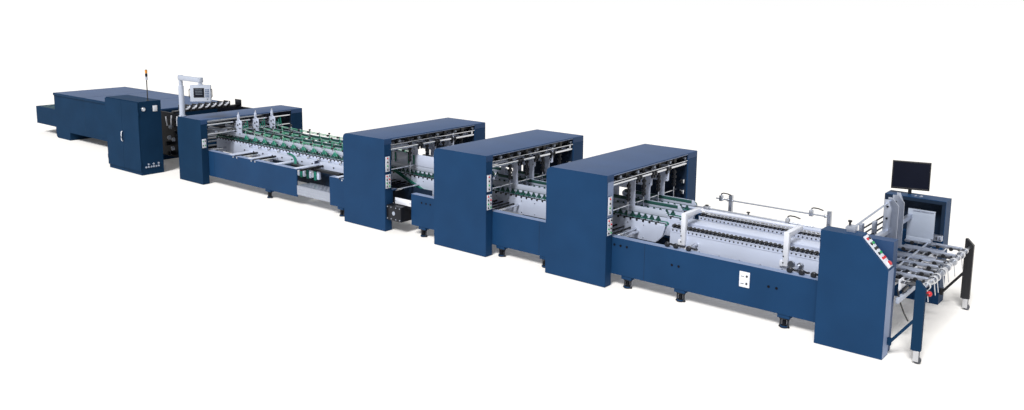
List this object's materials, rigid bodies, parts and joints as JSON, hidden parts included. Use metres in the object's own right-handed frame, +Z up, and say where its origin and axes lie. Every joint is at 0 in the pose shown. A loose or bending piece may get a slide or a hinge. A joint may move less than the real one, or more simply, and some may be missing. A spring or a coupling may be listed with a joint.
{
  "type": "lock bottom folder gluer",
  "caption": "Long floor-standing machine that folds and glues carton blanks as belts carry them from feeder to press.",
  "frame": {"origin": "centre of the line's plan box, at floor level", "axes": "+X along the line towards the feeder, +Y from the operator's side to the far side, +Z up"},
  "size_m": [22.157, 2.92, 2.1603],
  "materials": {
    "navy": "semi-gloss navy enamel",
    "slate": "semi-gloss slate blue enamel",
    "white": "white enamel on steel plate",
    "chrome": "bright chrome",
    "steel": "brushed",
    "black": "satin black",
    "rubber": "grey rubber",
    "pendant": "light grey enamel"
  },
  "bodies": {
    "line": {"exit_near_housing": "navy", "exit_far_housing": "navy", "exit_roof": "slate", "gluing_near_housing": "navy", "gluing_far_housing": "navy", "gluing_roof": "slate", "lock_near_housing": "navy", "lock_far_housing": "navy", "lock_roof": "slate", "prefold_near_housing": "navy", "prefold_far_housing": "navy", "prefold_roof": "slate", "folding_near_frame": "navy", "gluing_near_frame": "navy", "main_near_frame": "navy", "folding_far_frame": "navy", "main_far_frame": "navy", "walkway_tread_step": "steel", "folding_lower_carriers": "white", "folding_upper_carriers": "white", "gluing_lower_carriers": "white", "gluing_upper_carriers": "white", "lock_lower_carriers": "white", "lock_upper_carriers": "white", "prefold_lower_carriers": "white", "prefold_upper_carriers": "white", "transfer_roller_carriers": "white", "transfer_arms": "white", "far_gauge_rod": "steel", "feeder_near_housing": "navy", "feeder_inner_cover": "slate", "feeder_far_housing": "navy", "operator_strip": "white", "front_gauge": "steel", "feed_table": "steel", "near_feed_leg": "navy", "far_feed_leg": "black", "pendant_post": "pendant", "intake_roller_stand": "steel", "intake_holders": "black", "cabinet_shell": "navy", "signal_tower": "black", "press_body": "navy", "press_cover": "slate", "delivery_table": "navy", "delivery_end_plate": "steel", "gluing_drive_unit": "black"},
    "cabinet_left": {"cabinet_left_door": "navy"},
    "cabinet_right": {"cabinet_right_door": "navy"},
    "screen": {"monitor": "black"},
    "arm": {"pendant_arm": "pendant"},
    "pendant": {"pendant_screen_box": "pendant"},
    "near_fork": {"near_caster_fork": "chrome"},
    "near_wheel": {"near_caster_wheel": "rubber"},
    "far_fork": {"far_caster_fork": "chrome"},
    "far_wheel": {"far_caster_wheel": "rubber"}
  },
  "joints": [
    {"name": "cabinet_left_hinge", "type": "hinge", "parent": "line", "child": "cabinet_left", "pos_m": [-5.2385, -1.405, 0.8], "axis": [0, 0, -1], "range_deg": [0, 110]},
    {"name": "cabinet_right_hinge", "type": "hinge", "parent": "line", "child": "cabinet_right", "pos_m": [-3.8985, -1.405, 0.8], "axis": [0, 0, 1], "range_deg": [0, 110]},
    {"name": "monitor_swivel", "type": "hinge", "parent": "line", "child": "screen", "pos_m": [10.2415, 1.301, 1.5], "axis": [0, 0, 1], "range_deg": [-40, 40]},
    {"name": "pendant_arm_swivel", "type": "hinge", "parent": "line", "child": "arm", "pos_m": [-2.9635, -0.985, 2.02], "axis": [0, 0, 1], "range_deg": [-120, 60]},
    {"name": "pendant_box_swivel", "type": "hinge", "parent": "arm", "child": "pendant", "pos_m": [-2.2635, -0.985, 1.99], "axis": [0, 0, 1], "range_deg": [-90, 90]},
    {"name": "near_caster_swivel", "type": "hinge", "parent": "line", "child": "near_fork", "pos_m": [11.0185, -0.943, 0.145], "axis": [0, 0, 1], "continuous": true},
    {"name": "near_caster_roll", "type": "hinge", "parent": "near_fork", "child": "near_wheel", "pos_m": [11.0405, -0.943, 0.038], "axis": [0, 1, 0], "continuous": true},
    {"name": "far_caster_swivel", "type": "hinge", "parent": "line", "child": "far_fork", "pos_m": [11.0185, 1.166, 0.145], "axis": [0, 0, 1], "continuous": true},
    {"name": "far_caster_roll", "type": "hinge", "parent": "far_fork", "child": "far_wheel", "pos_m": [11.0405, 1.166, 0.038], "axis": [0, 1, 0], "continuous": true}
  ]
}
